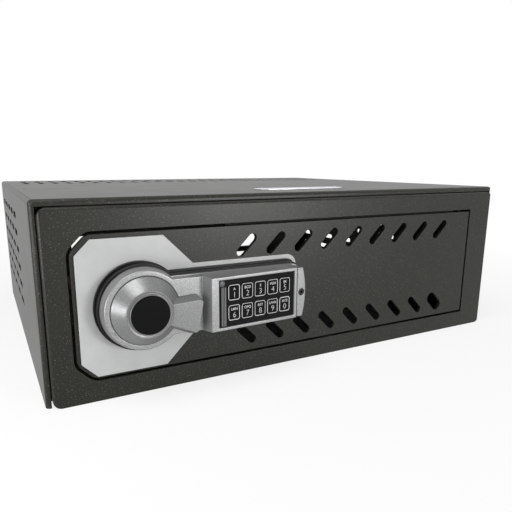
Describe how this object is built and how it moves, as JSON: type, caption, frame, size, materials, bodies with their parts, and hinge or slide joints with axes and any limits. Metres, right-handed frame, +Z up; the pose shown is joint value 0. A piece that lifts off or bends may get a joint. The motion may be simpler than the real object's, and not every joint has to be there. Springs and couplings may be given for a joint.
{
  "type": "dvr safe",
  "caption": "Low steel cabinet that locks a video recorder away: vented shell, flush slotted door, round knob lock and keypad on a light plate.",
  "frame": {"origin": "middle of the cabinet's underside", "axes": "+X to the right seen from the front, +Y to the back, +Z up; the front frame lies in the plane y = -190 mm"},
  "size_m": [0.455, 0.4129, 0.1497],
  "materials": {
    "shell_paint": "satin dark olive-grey powder coat with a fine orange peel",
    "inner_paint": "dark grey powder coat on the inner sheets",
    "plated_steel": "zinc-plated steel",
    "rubber_black": "black moulded rubber",
    "bare_plate": "bare satin aluminium",
    "light_plate": "light grey satin paint",
    "black_base": "black fine-textured plastic",
    "silver_casting": "silver fine-grained paint on a zinc casting",
    "satin_black": "satin black disc",
    "key_plastic": "dark moulded keys with a light outline and numeral",
    "grey_plastic": "mid grey plastic",
    "green_board": "green lacquered board",
    "coil_case": "dark coil case",
    "brass_cam": "machined brass",
    "battery_can": "plain battery can"
  },
  "bodies": {
    "cabinet": {"outer_shell": "shell_paint", "floor_pan": "inner_paint", "back_panel": "shell_paint", "front_frame": "shell_paint", "keeper_bar": "inner_paint", "door_stops": "inner_paint", "stop_bumpers": "rubber_black", "frame_hinge_lugs": "inner_paint", "hinge_pins": "inner_paint", "cable_window_trims": "rubber_black", "badge_plate": "bare_plate", "badge_rivets": "bare_plate"},
    "door": {"door_panel": "shell_paint", "door_stiffener": "inner_paint", "door_hinge_ears": "inner_paint", "lock_plate": "light_plate", "lock_base": "black_base", "lock_housing": "silver_casting", "housing_screws": "plated_steel", "end_cap": "silver_casting", "end_screw": "black_base", "keypad_panel": "black_base", "key_mat": "rubber_black", "keypad_board": "green_board", "indicator_bar": "grey_plastic", "indicator_lens": "grey_plastic", "keypad_cable": "grey_plastic", "lock_case": "inner_paint", "case_screws": "plated_steel", "bolt_guides": "inner_paint", "bar_stud": "plated_steel", "solenoid": "coil_case", "control_board": "green_board", "battery_tray": "black_base", "battery": "battery_can", "battery_door": "black_base", "plunger_spring": "plated_steel"},
    "knob": {"knob": "silver_casting", "knob_cap": "satin_black", "spindle": "plated_steel", "drive_cam": "brass_cam", "cam_screw": "plated_steel"},
    "bolt": {"bolt_bar": "plated_steel", "deadbolts": "plated_steel"},
    "plunger": {"plunger": "plated_steel"},
    "key_1": {"key_1": "key_plastic"},
    "key_2": {"key_2": "key_plastic"},
    "key_3": {"key_3": "key_plastic"},
    "key_4": {"key_4": "key_plastic"},
    "key_5": {"key_5": "key_plastic"},
    "key_6": {"key_6": "key_plastic"},
    "key_7": {"key_7": "key_plastic"},
    "key_8": {"key_8": "key_plastic"},
    "key_9": {"key_9": "key_plastic"},
    "key_0": {"key_0": "key_plastic"}
  },
  "joints": [
    {"name": "door_hinge", "type": "hinge", "parent": "cabinet", "child": "door", "pos_m": [0.1826, -0.1824, 0.07], "axis": [0, 0, 1], "range_deg": [0, 100]},
    {"name": "knob_turn", "type": "hinge", "parent": "door", "child": "knob", "pos_m": [-0.159, -0.19, 0.07], "axis": [0, 1, 0], "range_deg": [0, 90]},
    {"name": "bolt_slide", "type": "slide", "parent": "door", "child": "bolt", "axis": [-1, 0, 0], "range_m": [0, 0.016]},
    {"name": "plunger_slide", "type": "slide", "parent": "door", "child": "plunger", "axis": [0, 0, -1], "range_m": [0, 0.0032], "deforming": ["plunger_spring"]},
    {"name": "key_1_press", "type": "slide", "parent": "door", "child": "key_1", "axis": [-0.0602, 0.9982, 0], "range_m": [0, 0.0007], "stiffness_N_per_m": 1500, "springref_m": -0.0004},
    {"name": "key_2_press", "type": "slide", "parent": "door", "child": "key_2", "axis": [-0.0602, 0.9982, 0], "range_m": [0, 0.0007], "stiffness_N_per_m": 1500, "springref_m": -0.0004},
    {"name": "key_3_press", "type": "slide", "parent": "door", "child": "key_3", "axis": [-0.0602, 0.9982, 0], "range_m": [0, 0.0007], "stiffness_N_per_m": 1500, "springref_m": -0.0004},
    {"name": "key_4_press", "type": "slide", "parent": "door", "child": "key_4", "axis": [-0.0602, 0.9982, 0], "range_m": [0, 0.0007], "stiffness_N_per_m": 1500, "springref_m": -0.0004},
    {"name": "key_5_press", "type": "slide", "parent": "door", "child": "key_5", "axis": [-0.0602, 0.9982, 0], "range_m": [0, 0.0007], "stiffness_N_per_m": 1500, "springref_m": -0.0004},
    {"name": "key_6_press", "type": "slide", "parent": "door", "child": "key_6", "axis": [-0.0602, 0.9982, 0], "range_m": [0, 0.0007], "stiffness_N_per_m": 1500, "springref_m": -0.0004},
    {"name": "key_7_press", "type": "slide", "parent": "door", "child": "key_7", "axis": [-0.0602, 0.9982, 0], "range_m": [0, 0.0007], "stiffness_N_per_m": 1500, "springref_m": -0.0004},
    {"name": "key_8_press", "type": "slide", "parent": "door", "child": "key_8", "axis": [-0.0602, 0.9982, 0], "range_m": [0, 0.0007], "stiffness_N_per_m": 1500, "springref_m": -0.0004},
    {"name": "key_9_press", "type": "slide", "parent": "door", "child": "key_9", "axis": [-0.0602, 0.9982, 0], "range_m": [0, 0.0007], "stiffness_N_per_m": 1500, "springref_m": -0.0004},
    {"name": "key_0_press", "type": "slide", "parent": "door", "child": "key_0", "axis": [-0.0602, 0.9982, 0], "range_m": [0, 0.0007], "stiffness_N_per_m": 1500, "springref_m": -0.0004}
  ],
  "couplings": [
    {"joint": "bolt_slide", "follows": "knob_turn", "m_per_rad": 0.010185}
  ]
}
